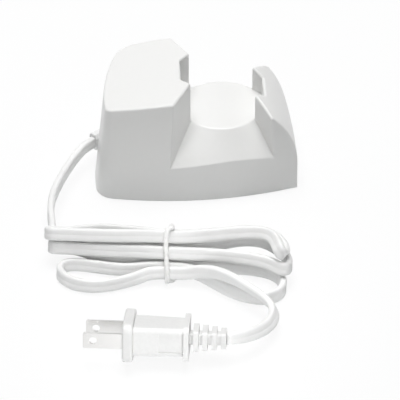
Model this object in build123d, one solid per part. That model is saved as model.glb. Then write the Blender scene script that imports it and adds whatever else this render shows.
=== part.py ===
from build123d import *
import math
import os

# Charging stand for an electric toothbrush, with its mains cord folded into a tied hank.
# Millimetres, +Z up. The origin is under the middle of the stand, on the surface it rests on.
# The cord leaves the tall end of the stand and lies on that surface in front of it.

# Stand, outside
BASE_LENGTH = 90.0
BASE_DEPTH = 64.0
STAND_OFF = 0.8
TOP_HEIGHT = 49.8
TOP_TILT = 8.2
WALL = 2.2
DRAFT = 6.7
SIDE_BOW = 168.0
SIDE_BOW_X = -6.7
TALL_END_BOW = 98.0
TALL_END_BOW_Y = -11.0
FIN_END_BOW = 330.0
FIN_END_BOW_Y = -21.0
FIN_SHOULDER = 12.0
FIN_ROLL = 35.0
FIN_MARGIN = 1.7
FRONT_CORNER = 9.0
BACK_CORNER = 17.0
FIN_CORNER = 12.0
EDGE_ROUND = 0.9

# Cradle that the handle stands in
PAD_SHARE = 0.2711
PAD_HEIGHT = 29.7
PAD_RADIUS = 18.0
RIM_ROUND = 1.2
NECK_WIDTH = 27.9
POCKET_WIDTH = 36.4
POCKET_FLAT = 14.8
TALL_FLARE = 27.5
FIN_FLARE = 31.0
RAMP_EDGE = 18.6

# Base plate, its seal and its fasteners
FIT = 0.2
PLATE_SINK = 0.4
PLATE_THICK = 1.8
GASKET_WIDTH = 2.0
GASKET_THICK = 0.8
LEDGE_THICK = 1.4
FOOT_DIAMETER = 9.0
FOOT_SINK = 0.6
FOOT_FROM_TALL_END = 15.5
FOOT_FROM_FIN_END = 18.0
FOOT_FROM_SIDE = 12.0
SCREW_FROM_TALL_END = 12.2
TALL_SCREW_FROM_SIDE = 18.5
SCREW_FROM_FIN_END = 8.5
FIN_SCREW_FROM_SIDE = 23.0
SCREW_SHANK = 2.8
SCREW_HEAD = 5.6
SCREW_HEAD_THICK = 1.8
SCREW_LENGTH = 11.0
SCREW_BOSS = 6.5
PLATE_BOSS = 8.0
PLATE_BOSS_RISE = 3.0
HEAD_SINK = 2.2

# Charging coil under the pad
CORE_RADIUS = 15.0
CORE_HEIGHT = 14.0
CORE_WALL = 2.4
CORE_FLOOR = 3.0
CORE_POST = 5.0
CORE_SLOT = 5.0
BOBBIN_WALL = 0.9
COIL_RADIUS = 11.2
CORE_SEAT_WIDTH = 3.0

# Circuit board and what stands on it
BOARD_FROM_CORE = 1.7
BOARD_LENGTH = 24.0
BOARD_WIDTH = 40.0
BOARD_THICK = 1.6
BOARD_RISE = 6.0
BOARD_POST = 5.0
BOARD_POST_INSET = 3.0
BOARD_SCREW = 1.8
BOARD_SCREW_HEAD = 3.8
BOARD_SCREW_LENGTH = 5.0
FILM_LENGTH = 15.0
FILM_WIDTH = 7.5
FILM_HEIGHT = 13.0
CAN_DIAMETER = 8.0
CAN_HEIGHT = 15.0
CAN_GROOVE = 0.8
FUSE_DIAMETER = 4.0
FUSE_LENGTH = 10.0
DIODE_DIAMETER = 2.7
DIODE_LENGTH = 5.2
DIODE_PITCH = 3.6
DIODE_ROW = 9.0
TRANSISTOR_WIDTH = 8.0
TRANSISTOR_THICK = 3.0
TRANSISTOR_HEIGHT = 11.0
TRANSISTOR_LEG = 3.5
PART_GAP = 0.4
LEAD_DIAMETER = 0.7
WIRE_DIAMETER = 1.4

# Cord: flat twin, lying on edge, with the gland that it leaves the stand by
CORD_WIDTH = 5.6
CORD_THICK = 2.9
CORD_BEVEL = 0.8
GLAND_Y = 2.6
GLAND_Z = 10.6
GLAND_TURN = 40.0
GLAND_WALL = 1.4
GLAND_LENGTH = 10.5
GLAND_NOSE = 3.6
GLAND_POCKET = 8.0
GLAND_STRAIGHT = 7.0
LEAD_ROUTE = [(-52.4, -8.2, 10.2), (-57.0, -18.4, 9.8), (-61.0, -30.0, 9.8), (-63.4, -40.6, 10.0),
              (-63.6, -49.4, 10.3), (-61.2, -56.6, 10.8)]
LEAD_LAST_RUN = 7.0
TAIL_FIRST_RUN = 7.0
TAIL_ROUTE = [(9.2, -90.6, 7.0), (16.2, -94.0, 10.2), (22.4, -99.8, 12.4), (26.8, -107.4, 12.2),
              (29.0, -116.2, 8.4), (26.2, -124.8, 6.4), (21.2, -131.6, 8.0)]
TAIL_LAST_RUN = 6.5

# Hank: seven strands folded to and fro, stacked in rows that step forward, and tied at the waist
HANK_X = -12.4
HANK_Y = -73.0
HANK_YAW = -7.0
STRANDS = 7
ROW_RISE = 6.1
WAIST_PITCH = 3.4
WAIST_HALF = 5.0
CLIMB_END = 20.0
HANK_REACH = 52.0
LOOSE_REACH = 46.0
LOBE_STRAIGHT = 4.0
LEAD_JOIN = 38.0
LEAD_HEIGHT = 11.0
NEIGHBOUR = 3.8
TIGHT_FOLD = 6.0
LEFT_LOOSE_FOLD = 15.0
RIGHT_LOOSE_FOLD = 14.0
RIGHT_FAN = 6.2
RIGHT_BACK = 1.2
TIE_WIRE = 1.8
TIE_GAP = 0.3

# Plug: two flat blades, moulded body, slotted strain relief
PLUG_X = -32.5
PLUG_Y = -131.1
PLUG_YAW = -5.2
PLUG_ROLL = -18.0
BLADE_SPACING = 12.7
BLADE_WIDTH = 6.35
BLADE_THICK = 1.5
BLADE_LENGTH = 16.0
BLADE_HOLE = 3.2
BLADE_HOLE_FROM_FACE = 11.9
BLADE_ROOT = 7.0
FLANGE_WIDTH = 22.0
FLANGE_HEIGHT = 16.5
FLANGE_THICK = 4.3
FLANGE_CORNER = 3.5
GRIP_WIDTH = 15.8
GRIP_HEIGHT = 12.6
GRIP_LENGTH = 20.2
GRIP_TAPER = 1.0
GRIP_ROUND = 2.0
PANEL_LENGTH = 10.0
PANEL_HEIGHT = 8.0
PANEL_DEPTH = 0.5
COLLAR_WIDTH = 18.4
COLLAR_HEIGHT = 14.8
COLLAR_THICK = 2.1
COLLAR_CORNER = 2.5
BRIDGE_THICK = 3.0
BRIDGE_MARGIN = 1.6
BRIDGE_DEPTH = 1.4
RIB_COUNT = 4
RIB_THICK = 2.2
RIB_GAP = 1.5
RIB_WIDTH = 10.0
RIB_HEIGHT = 8.8
RIB_SHRINK = 0.7
RELIEF_WALL = 0.9

# Worked out from the sizes above
half_length = BASE_LENGTH / 2
half_depth = BASE_DEPTH / 2
pad_x = PAD_SHARE * half_length
fin_plan_x = half_length + FIN_MARGIN - FIN_END_BOW
neck_half = NECK_WIDTH / 2
neck_y = math.sqrt(PAD_RADIUS**2 - neck_half**2)
top_slope = math.tan(math.radians(TOP_TILT))
draft_slope = math.tan(math.radians(DRAFT))
beyond = 2 * TOP_HEIGHT
ramp_front = half_depth - RAMP_EDGE * draft_slope
ramp_angle = math.atan2(PAD_HEIGHT - RAMP_EDGE, ramp_front - PAD_RADIUS)
ramp_foot = RAMP_EDGE / 3
plate_low = STAND_OFF + PLATE_SINK
plate_top = plate_low + PLATE_THICK
gasket_top = plate_top + GASKET_THICK
ledge_inset = WALL + FIT + GASKET_WIDTH
boss_low = plate_top + PLATE_BOSS_RISE
core_top = PAD_HEIGHT - WALL - FIT
core_low = core_top - CORE_HEIGHT
board_low = plate_top + BOARD_RISE
board_top = board_low + BOARD_THICK
tall_screw_x = SCREW_FROM_TALL_END - half_length
tall_screw_y = half_depth - TALL_SCREW_FROM_SIDE
fin_screw_x = half_length - SCREW_FROM_FIN_END
fin_screw_y = half_depth - FIN_SCREW_FROM_SIDE
screw_places = [(tall_screw_x, y) for y in (-tall_screw_y, tall_screw_y)]
screw_places += [(fin_screw_x, y) for y in (-fin_screw_y, fin_screw_y)]
foot_columns = (FOOT_FROM_TALL_END - half_length, half_length - FOOT_FROM_FIN_END)
foot_rows = (FOOT_FROM_SIDE - half_depth, half_depth - FOOT_FROM_SIDE)
foot_places = [(x, y) for x in foot_columns for y in foot_rows]
board_x = pad_x - CORE_RADIUS - BOARD_FROM_CORE - BOARD_LENGTH / 2
board_edge = board_x - BOARD_LENGTH / 2
post_x = BOARD_LENGTH / 2 - BOARD_POST_INSET
post_y = BOARD_WIDTH / 2 - BOARD_POST_INSET
post_places = [(board_x + sx * post_x, sy * post_y) for sx in (-1, 1) for sy in (-1, 1)]
stand_up = (Align.CENTER, Align.CENTER, Align.MIN)


def rod(x, y, low, high, diameter):
    """Upright round bar between two heights."""
    return Pos(x, y, low) * Cylinder(diameter / 2, high - low, align=stand_up)


def slab(low, high):
    """Everything between two heights."""
    return Pos(0, 0, low) * Box(2 * BASE_LENGTH, 2 * BASE_DEPTH, high - low, align=stand_up)


def outline(inset):
    """Plan of the stand at the floor: four bowed sides, three of the corners rounded.

    It runs a margin past the fin, whose own roll shapes that end.
    """
    front = Pos(SIDE_BOW_X, SIDE_BOW - half_depth) * Circle(SIDE_BOW - inset)
    back = Pos(SIDE_BOW_X, half_depth - SIDE_BOW) * Circle(SIDE_BOW - inset)
    tall_end = Pos(TALL_END_BOW - half_length, TALL_END_BOW_Y) * Circle(TALL_END_BOW - inset)
    fin_end = Pos(fin_plan_x, FIN_END_BOW_Y) * Circle(FIN_END_BOW - inset)
    face = front & back & tall_end & fin_end
    for x_side, y_side, radius in ((-1, -1, FRONT_CORNER), (-1, 1, BACK_CORNER), (1, 1, FIN_CORNER)):
        corner = face.vertices().sort_by(lambda v: x_side * v.X + y_side * v.Y)[-1]
        face = fillet(corner, radius - inset)
    return face


def top_z(x, inset):
    """Height of the tall block's tilted top."""
    from_neck = x - (pad_x - neck_half)
    return TOP_HEIGHT + from_neck * top_slope - inset / math.cos(math.radians(TOP_TILT))


def tall_block(inset):
    """Room under the tilted top, from the cradle to past the tall end."""
    far = -BASE_LENGTH
    points = [(pad_x, STAND_OFF), (pad_x, top_z(pad_x, inset)), (far, top_z(far, inset)), (far, STAND_OFF)]
    return extrude(make_face(Plane.XZ * Polyline(*points, close=True)), BASE_DEPTH, both=True)


def fin_block(inset):
    """Room under the rolled-over fin: an upright wall that turns into a roll, swung round the end's bow."""
    inner = pad_x - neck_half / 2
    wall = half_length - inset
    roll = FIN_ROLL - inset
    centre = half_length - FIN_ROLL
    rise = math.sqrt(roll**2 - (inner - centre) ** 2)
    turn = math.degrees(math.atan2(rise, inner - centre))
    points = [(inner, FIN_SHOULDER + rise), (inner, STAND_OFF), (wall, STAND_OFF), (wall, FIN_SHOULDER)]
    sketch = Polyline(*points) + CenterArc((centre, FIN_SHOULDER), roll, 0, turn)
    face = Pos(0, FIN_END_BOW_Y, 0) * make_face(Plane.XZ * sketch)
    axis = Axis((half_length - FIN_END_BOW, FIN_END_BOW_Y, 0), (0, 0, 1))
    swing = 2 * math.degrees(math.atan2(BASE_DEPTH, FIN_END_BOW))
    return revolve(face.rotate(axis, -swing / 2), axis, swing)


def body_form(inset):
    """The stand without its cradle, with every wall moved in by the inset."""
    return extrude(outline(inset), beyond, taper=DRAFT) & (tall_block(inset) + fin_block(inset))


def flare_half(y, angle):
    """Half width of the cradle's mouth, which opens from the neck at an angle."""
    return neck_half + (y - neck_y) * math.tan(math.radians(angle))


def cradle_plan(grow):
    """Plan of the cradle: a flat-sided pocket, two necks and two flared mouths."""
    points = []
    for side, angle in ((1, FIN_FLARE), (-1, TALL_FLARE)):
        quarter = [(POCKET_WIDTH / 2, POCKET_FLAT / 2), (neck_half, neck_y)]
        quarter += [(flare_half(BASE_DEPTH, angle), BASE_DEPTH)]
        points += [(side * x, -side * y) for x, y in reversed(quarter)]
        points += [(side * x, side * y) for x, y in quarter]
    face = make_face(Polyline(*points, close=True))
    if grow:
        face = offset(face, grow, kind=Kind.INTERSECTION)
    return Pos(pad_x, 0) * face


def ramp(drop):
    """Front slope of the cradle: ruled from the pad's round rim out to the bowed front wall."""
    shift = drop * math.tan(ramp_angle / 2)
    rim = PAD_RADIUS - shift
    rim_half = neck_half * rim / PAD_RADIUS
    rim_y = neck_y * rim / PAD_RADIUS
    reach = rim + (PAD_HEIGHT - RAMP_EDGE + ramp_foot) / math.tan(ramp_angle)
    bow = SIDE_BOW + reach - ramp_front
    wide = flare_half(reach, max(FIN_FLARE, TALL_FLARE)) + 2 * WALL

    def edge(x):
        return bow - reach - math.sqrt(bow**2 - (x + pad_x - SIDE_BOW_X) ** 2)

    upper = Polyline((rim_half, -rim_y), (rim_half, 0), (-rim_half, 0), (-rim_half, -rim_y))
    upper += ThreePointArc((-rim_half, -rim_y), (0, -rim), (rim_half, -rim_y))
    lower = Polyline((wide, edge(wide)), (wide, 0), (-wide, 0), (-wide, edge(-wide)))
    lower += ThreePointArc((-wide, edge(-wide)), (0, edge(0)), (wide, edge(wide)))
    top = Pos(pad_x, 0, PAD_HEIGHT - drop) * make_face(upper)
    bottom = Pos(pad_x, 0, RAMP_EDGE - ramp_foot - drop) * make_face(lower)
    form = loft([bottom, top], ruled=True)
    brim = form.edges().filter_by(GeomType.CIRCLE).sort_by(Axis.Z)[-1]
    return fillet(brim, RIM_ROUND)


def cradle_form(grow):
    """The space that the cradle takes out of the stand."""
    front = ramp(grow)
    pad = Box(2 * POCKET_WIDTH, 2 * neck_y, 2 * PAD_HEIGHT, align=(Align.CENTER, Align.CENTER, Align.MAX))
    floor = front + mirror(front, Plane.XZ) + Pos(pad_x, 0, PAD_HEIGHT - grow) * pad
    return extrude(Pos(0, 0, RAMP_EDGE - ramp_foot - grow) * cradle_plan(grow), beyond) - floor


def soft_edges(solid):
    """Edges of the stand that the mould rounds: its top, its fin, and the cradle's walls and lips."""
    picked = []
    for edge in solid.edges():
        middle = edge @ 0.5
        from_pad = abs(middle.X - pad_x)
        upright = abs((edge @ 0).Z - (edge @ 1).Z) > PAD_HEIGHT / 4
        on_top = abs(middle.Z - top_z(middle.X, 0)) < EDGE_ROUND / 20
        fin_top = middle.X > pad_x and middle.Z > PAD_HEIGHT + FIN_SHOULDER / 2 and not upright
        neck = upright and abs(abs(middle.Y) - neck_y) < FIT and abs(from_pad - neck_half) < FIT
        mouth = upright and abs(middle.Y) > neck_y * 1.7 and edge.geom_type == GeomType.HYPERBOLA
        mouth = mouth and pad_x < middle.X < pad_x + PAD_RADIUS * 1.5
        ramp_lip = abs(middle.Z - RAMP_EDGE) < EDGE_ROUND * 1.5 and abs(middle.Y) > neck_y * 2 and not upright
        fin_front = upright and middle.X > half_length * 0.8 and middle.Y < -neck_y
        fin_back = upright and middle.X > half_length * 0.7 and middle.Y > neck_y
        fin_back = fin_back and middle.Z > FIN_SHOULDER * 1.2
        if on_top or fin_top or neck or mouth or ramp_lip or fin_front or fin_back:
            picked.append(edge)
    return picked


def gland_place(along):
    """Point on the cord's straight way out of the stand; zero is the outside of the wall."""
    turn = math.radians(GLAND_TURN)
    outside = TALL_END_BOW - half_length - math.sqrt(TALL_END_BOW**2 - (GLAND_Y - TALL_END_BOW_Y) ** 2)
    outside += GLAND_Z * draft_slope
    return Vector(outside - along * math.cos(turn), GLAND_Y - along * math.sin(turn), GLAND_Z)


def cord_plane(origin, along):
    """Plane across the cord with its long side upright."""
    return Plane(origin=origin, x_dir=(0, 0, 1), z_dir=along)


def cord_section(grow=0.0):
    """Flat twin cord's outline with bevelled corners, long side along the plane's X."""
    outline_box = Rectangle(CORD_WIDTH + 2 * grow, CORD_THICK + 2 * grow)
    return chamfer(outline_box.vertices(), CORD_BEVEL + grow / 2)


def wire_section(diameter):
    """Eight-sided outline of a thin wire."""
    return RegularPolygon(diameter / 2, 8)


gland_way = gland_place(1) - gland_place(0)
gland_inner = GLAND_NOSE - GLAND_LENGTH


def gland_bar(start, length):
    """Bar of the gland's outline along the cord's way out."""
    return extrude(cord_plane(gland_place(start), gland_way) * cord_section(GLAND_WALL), length)


def upper_housing():
    """One moulding: thin shell with the cradle in it, screw bosses and a ledge for the seal."""
    outside = body_form(0) - cradle_form(0)
    outside = fillet(soft_edges(outside), EDGE_ROUND)
    skin_middle = body_form(WALL / 2) - cradle_form(WALL / 2)
    shell = outside - (body_form(WALL) - cradle_form(WALL))
    ledge = (body_form(WALL / 2) - body_form(ledge_inset)) & slab(gasket_top, gasket_top + LEDGE_THICK)
    for x, y in screw_places:
        ledge -= rod(x, y, 0, boss_low, PLATE_BOSS + 2 * FIT)
    shell += ledge
    for x, y in screw_places:
        shell += rod(x, y, boss_low, TOP_HEIGHT, SCREW_BOSS) & skin_middle
    for x, y in screw_places:
        shell -= rod(x, y, 0, plate_low + HEAD_SINK + SCREW_LENGTH, SCREW_SHANK)
    return shell - gland_bar(-GLAND_LENGTH, 2 * GLAND_LENGTH)


def base_plate():
    """Floor of the stand, with the posts that carry the coil and the circuit board."""
    plate = body_form(WALL + FIT) & slab(plate_low, plate_top)
    plate += rod(pad_x, 0, plate_low, core_low, 2 * (CORE_RADIUS - CORE_WALL))
    plate -= rod(pad_x, 0, plate_top, core_low, 2 * (CORE_RADIUS - CORE_WALL - CORE_SEAT_WIDTH))
    for x, y in screw_places:
        plate += rod(x, y, plate_low, boss_low, PLATE_BOSS) & body_form(WALL + FIT)
    for x, y in post_places:
        plate += rod(x, y, plate_low, board_low, BOARD_POST)
    for x, y in screw_places:
        plate -= rod(x, y, 0, plate_low + HEAD_SINK, SCREW_HEAD + 2 * FIT)
        plate -= rod(x, y, 0, boss_low, SCREW_SHANK + 2 * FIT)
    for x, y in foot_places:
        plate -= rod(x, y, 0, plate_low + FOOT_SINK, FOOT_DIAMETER + FIT)
    for x, y in post_places:
        plate -= rod(x, y, board_top - BOARD_SCREW_LENGTH, board_low, BOARD_SCREW)
    return plate


def base_gasket():
    """Flat rubber seal between the plate's edge and the housing's ledge."""
    ring = (body_form(WALL + FIT) - body_form(ledge_inset)) & slab(plate_top, gasket_top)
    for x, y in screw_places:
        ring -= rod(x, y, 0, boss_low, PLATE_BOSS + FIT)
    return ring


def rubber_feet():
    """Four pads pressed into the plate's underside."""
    feet = []
    for x, y in foot_places:
        pad = rod(x, y, 0, plate_low + FOOT_SINK, FOOT_DIAMETER)
        feet.append(chamfer(pad.edges().group_by(Axis.Z)[0], STAND_OFF / 2))
    return Compound(feet)


def base_screws():
    """Four pan-head screws, up through the plate into the housing's bosses."""
    screws = []
    for x, y in screw_places:
        seat = plate_low + HEAD_SINK
        head = rod(x, y, seat - SCREW_HEAD_THICK, seat, SCREW_HEAD)
        head = chamfer(head.edges().group_by(Axis.Z)[0], SCREW_HEAD_THICK / 3)
        head -= Pos(x, y, seat - SCREW_HEAD_THICK) * Box(SCREW_HEAD / 2, SCREW_HEAD / 8, SCREW_HEAD_THICK)
        head -= Pos(x, y, seat - SCREW_HEAD_THICK) * Box(SCREW_HEAD / 8, SCREW_HEAD / 2, SCREW_HEAD_THICK)
        screws.append(head + rod(x, y, seat, seat + SCREW_LENGTH, SCREW_SHANK))
    return Compound(screws)


def pot_core():
    """Ferrite cup with a middle post, open towards the pad, slotted on one side for the wires."""
    cup = rod(pad_x, 0, core_low, core_top, 2 * CORE_RADIUS)
    cup -= rod(pad_x, 0, core_low + CORE_FLOOR, core_top, 2 * (CORE_RADIUS - CORE_WALL))
    cup += rod(pad_x, 0, core_low, core_top, 2 * CORE_POST)
    slot = Box(CORE_RADIUS, CORE_SLOT, CORE_HEIGHT, align=(Align.MAX, Align.CENTER, Align.MIN))
    return cup - Pos(pad_x - CORE_POST - 2 * BOBBIN_WALL, 0, core_low + CORE_FLOOR) * slot


bobbin_low = core_low + CORE_FLOOR
bobbin_inner = CORE_POST + FIT
bobbin_outer = CORE_RADIUS - CORE_WALL - FIT


def coil_bobbin():
    """Spool that slips over the core's post."""
    spool = rod(pad_x, 0, bobbin_low, core_top, 2 * bobbin_outer)
    groove = rod(pad_x, 0, bobbin_low + BOBBIN_WALL, core_top - BOBBIN_WALL, 2 * bobbin_outer)
    spool -= groove - rod(pad_x, 0, bobbin_low, core_top, 2 * (bobbin_inner + BOBBIN_WALL))
    return spool - rod(pad_x, 0, bobbin_low, core_top, 2 * bobbin_inner)


def primary_coil():
    """Wound copper, as one ring that fills the spool."""
    ring = rod(pad_x, 0, bobbin_low + BOBBIN_WALL, core_top - BOBBIN_WALL, 2 * COIL_RADIUS)
    return ring - rod(pad_x, 0, bobbin_low, core_top, 2 * (bobbin_inner + BOBBIN_WALL))


def circuit_board():
    """Board on four posts, with holes for its screws."""
    board = Pos(board_x, 0, board_low) * Box(BOARD_LENGTH, BOARD_WIDTH, BOARD_THICK, align=stand_up)
    board = fillet(board.edges().filter_by(Axis.Z), EDGE_ROUND)
    for x, y in post_places:
        board -= rod(x, y, board_low, board_top, BOARD_SCREW + 2 * FIT)
    return board


def board_screws():
    """Four small screws that hold the board down."""
    screws = []
    for x, y in post_places:
        head = rod(x, y, board_top, board_top + BOARD_SCREW, BOARD_SCREW_HEAD)
        head = chamfer(head.edges().group_by(Axis.Z)[-1], BOARD_SCREW / 4)
        screws.append(head + rod(x, y, board_top - BOARD_SCREW_LENGTH, board_top, BOARD_SCREW))
    return Compound(screws)


film_x = board_edge + FILM_WIDTH * 0.7
can_x = board_edge + CAN_DIAMETER * 0.7
part_x = can_x + (CAN_DIAMETER + DIODE_DIAMETER + DIODE_PITCH) / 2 + PART_GAP
film_y = BOARD_SCREW_HEAD / 2 + FIT - post_y + FILM_LENGTH / 2


def film_capacitor():
    """Box capacitor with rounded edges."""
    box = Pos(film_x, film_y, board_top) * Box(FILM_WIDTH, FILM_LENGTH, FILM_HEIGHT, align=stand_up)
    return fillet(box.edges().filter_by(Axis.Z) + box.edges().group_by(Axis.Z)[-1], EDGE_ROUND)


def electrolytic_capacitor():
    """Upright can with a groove near its foot and a scored top."""
    y = CAN_DIAMETER
    top = board_top + CAN_HEIGHT
    can = chamfer(rod(can_x, y, board_top, top, CAN_DIAMETER).edges().group_by(Axis.Z)[-1], CAN_GROOVE)
    band = (board_top + CAN_GROOVE, board_top + 2 * CAN_GROOVE)
    can -= rod(can_x, y, *band, CAN_DIAMETER) - rod(can_x, y, *band, CAN_DIAMETER - CAN_GROOVE)
    score = Box(CAN_DIAMETER / 2, FIT, FIT) + Box(FIT, CAN_DIAMETER / 2, FIT)
    return can - Pos(can_x, y, top) * score


def axial_part(x, y, diameter, length):
    """Round body lying along Y on the board, with a bent lead at each end."""
    rise = board_top + diameter / 2 + FIT
    body = Pos(x, y, rise) * Rot(90, 0, 0) * Cylinder(diameter / 2, length)
    body = chamfer(body.edges().filter_by(GeomType.CIRCLE), diameter / 8)
    for end in (-1, 1):
        foot = y + end * (length / 2 + diameter / 2)
        arm = Pos(x, (y + foot) / 2, rise) * Box(LEAD_DIAMETER, abs(foot - y) + LEAD_DIAMETER, LEAD_DIAMETER)
        leg = Box(LEAD_DIAMETER, LEAD_DIAMETER, rise - board_top, align=stand_up)
        body += arm + Pos(x, foot, board_top) * leg
    return body


def fuse_resistor():
    """Fusible resistor in the mains line."""
    return axial_part(part_x + PART_GAP, film_y + PART_GAP, FUSE_DIAMETER, FUSE_LENGTH)


def rectifier_diodes():
    """Four diodes, two by two."""
    columns = [part_x + side * DIODE_PITCH / 2 for side in (-1, 1)]
    rows = [BOARD_WIDTH / 4 + side * DIODE_ROW / 2 for side in (-1, 1)]
    return Compound([axial_part(x, y, DIODE_DIAMETER, DIODE_LENGTH) for x in columns for y in rows])


def switching_transistor():
    """Flat package on three legs, with a hole through its head."""
    x = board_x
    y = -post_y
    low = board_top + TRANSISTOR_LEG
    size = (TRANSISTOR_WIDTH, TRANSISTOR_THICK, TRANSISTOR_HEIGHT)
    body = chamfer((Pos(x, y, low) * Box(*size, align=stand_up)).edges().group_by(Axis.Z)[-1], FIT)
    eye = Pos(x, y, low + TRANSISTOR_HEIGHT * 0.7) * Rot(90, 0, 0)
    body -= eye * Cylinder(TRANSISTOR_THICK / 2, 2 * TRANSISTOR_THICK)
    for i in (-1, 0, 1):
        leg = Box(LEAD_DIAMETER, LEAD_DIAMETER, TRANSISTOR_LEG, align=stand_up)
        body += Pos(x + i * TRANSISTOR_WIDTH / 3.5, y, board_top) * leg
    return body


def route_radii(points):
    """Widest bend at each corner of a route, from its shorter run and its turn."""
    radii = []
    for before, here, after in zip(points, points[1:], points[2:]):
        turn = math.radians((here - before).get_angle(after - here))
        run = min((here - before).length, (after - here).length)
        radii.append(0.45 * run / math.tan(turn / 2))
    return radii


def tube(points, section):
    """Section swept along a route of runs and bends."""
    path = FilletPolyline(*points, radius=route_radii(points))
    return sweep(cord_plane(path @ 0, path % 0) * section, path)


def mains_leads():
    """The cord's two conductors, from the gland to the board."""
    wires = []
    for side in (-1, 1):
        start = gland_place(gland_inner) + Vector(0, 0, side * CORD_WIDTH / 4)
        out = start - gland_way * (2 * WIRE_DIAMETER)
        x = board_edge + 1.2 * WIRE_DIAMETER
        y = out.Y - (4 + side) * WIRE_DIAMETER
        high = board_top + 3 * WIRE_DIAMETER
        points = [start, out, Vector(x - WIRE_DIAMETER, y, high), Vector(x, y, high - WIRE_DIAMETER),
                  Vector(x, y, board_top)]
        wires.append(tube(points, wire_section(WIRE_DIAMETER)))
    return Compound(wires)


def coil_leads():
    """The winding's two ends, out through the core's slot and down to the board."""
    wires = []
    near_edge = board_x + BOARD_LENGTH / 2
    land = near_edge - 1.5 * WIRE_DIAMETER
    for side in (-1, 1):
        y = side * WIRE_DIAMETER
        high = bobbin_low + BOBBIN_WALL + WIRE_DIAMETER
        start = pad_x - math.sqrt(COIL_RADIUS**2 - (WIRE_DIAMETER / 2) ** 2)
        bend = high - near_edge + land
        points = [Vector(start, y, high), Vector(near_edge, y, high), Vector(land, y, bend),
                  Vector(land, y, board_top)]
        wires.append(tube(points, wire_section(WIRE_DIAMETER)))
    return Compound(wires)


def cord_gland():
    """Rubber bush through the wall; the cord sits in its outer half."""
    bar = gland_bar(gland_inner, GLAND_LENGTH)
    nose = bar.faces().sort_by(Axis((0, 0, 0), tuple(gland_way)))[-1]
    bush = fillet(nose.edges(), GLAND_WALL / 2)
    seat = cord_plane(gland_place(GLAND_NOSE - GLAND_POCKET), gland_way)
    return bush - extrude(seat * cord_section(FIT / 2), GLAND_LENGTH)


hank_frame = Pos(HANK_X, HANK_Y, 0) * Rot(0, 0, HANK_YAW)
hank_along = Vector(math.cos(math.radians(HANK_YAW)), math.sin(math.radians(HANK_YAW)), 0)
hank_forward = Vector(hank_along.Y, -hank_along.X, 0)
waist_lift = TIE_WIRE + TIE_GAP
last_fold = STRANDS // 2 - 1


def hank_point(along, forward, z):
    """Point of the hank, from its own length and breadth; zero is the first strand at the waist."""
    return (hank_frame * Pos(along, -forward, z)).position


def strand_row(strand):
    """Two strands lie in each upper row and the rest on the surface."""
    return max(0, last_fold - strand // 2)


def row_height(row):
    """Middle of a strand in a row."""
    return CORD_WIDTH / 2 + row * ROW_RISE


def waist_place(strand):
    """How far forward a strand lies under the tie. The last strand lies behind the one before it."""
    step = (strand + 1) // 2
    return (step + 1 if strand == STRANDS - 2 else step) * WAIST_PITCH


def left_place(strand):
    """How far forward a strand lies at the left end: each fold has its first strand in front."""
    fold = (strand - 1) // 2
    if fold < 0:
        return WAIST_PITCH - TIGHT_FOLD - NEIGHBOUR
    front = (fold + 1) * WAIST_PITCH
    if fold == last_fold:
        front = fold * WAIST_PITCH + NEIGHBOUR + LEFT_LOOSE_FOLD
    return front if strand % 2 else front - fold_width(fold, LEFT_LOOSE_FOLD)


def right_place(strand):
    """How far forward a strand lies at the right end, where the folds fan out."""
    fold = strand // 2
    front = (fold + 1) * WAIST_PITCH + fold * RIGHT_FAN - RIGHT_BACK
    if fold == last_fold:
        front = fold * WAIST_PITCH + NEIGHBOUR + RIGHT_LOOSE_FOLD
    return front if strand % 2 else front - fold_width(fold, RIGHT_LOOSE_FOLD)


def fold_width(fold, loose):
    """The folds are tight, except the last."""
    return loose if fold == last_fold else TIGHT_FOLD


def left_end(strand):
    """Where a strand meets its left fold. A strand leaves the fold at the height of the one before it."""
    if strand == 0:
        return hank_point(-LEAD_JOIN, left_place(strand), LEAD_HEIGHT)
    fold = (strand - 1) // 2
    reach = LOOSE_REACH if fold == last_fold else HANK_REACH
    along = reach - fold_width(fold, LEFT_LOOSE_FOLD) / 2
    return hank_point(-along, left_place(strand), row_height(strand_row(2 * fold + 1)))


def right_end(strand):
    """Where a strand meets its right fold."""
    along = HANK_REACH - fold_width(strand // 2, RIGHT_LOOSE_FOLD) / 2
    return hank_point(along, right_place(strand), row_height(strand_row(strand)))


def s_bend(start, finish, way):
    """Two equal arcs between parallel runs, or one line where they are in line."""
    if (finish - start).cross(way).length < TIE_GAP / 100:
        return [Line(start, finish)]
    middle = (start + finish) * 0.5
    first = TangentArc(start, middle, tangent=way)
    return [first, TangentArc(middle, finish, tangent=first % 1)]


def fold_arcs(start, finish, way):
    """Half turn from one strand to the next, as two quarters."""
    tip = (start + finish) * 0.5 + way * ((finish - start).length / 2)
    first = TangentArc(start, tip, tangent=way)
    return [first, TangentArc(tip, finish, tangent=first % 1)]


def hank_path():
    """Centre line of the whole hank, from the lead to the tail."""
    edges = []
    for strand in range(STRANDS):
        rightward = strand % 2 == 0
        way = hank_along if rightward else hank_along * -1
        ends = [left_end(strand), right_end(strand)] if strand < STRANDS - 1 else [left_end(strand)]
        height = row_height(strand_row(strand)) + waist_lift
        waist = [hank_point(side * WAIST_HALF, waist_place(strand), height) for side in (-1, 1)]
        if not rightward:
            ends.reverse()
            waist.reverse()
        eased = ends[0] + way * (CORD_WIDTH if strand == 0 else LOBE_STRAIGHT)
        edges.append(Line(ends[0], eased))
        if rightward and strand < STRANDS - 1:
            climbed = hank_point(-CLIMB_END, left_place(strand), row_height(strand_row(strand)))
            edges += s_bend(eased, climbed, way)
            eased = climbed
        edges += s_bend(eased, waist[0], way)
        edges.append(Line(*waist))
        if strand < STRANDS - 1:
            easing = ends[1] - way * LOBE_STRAIGHT
            edges += s_bend(waist[1], easing, way)
            edges.append(Line(easing, ends[1]))
            following = right_end(strand + 1) if rightward else left_end(strand + 1)
            edges += fold_arcs(ends[1], following, way)
    return edges


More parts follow.
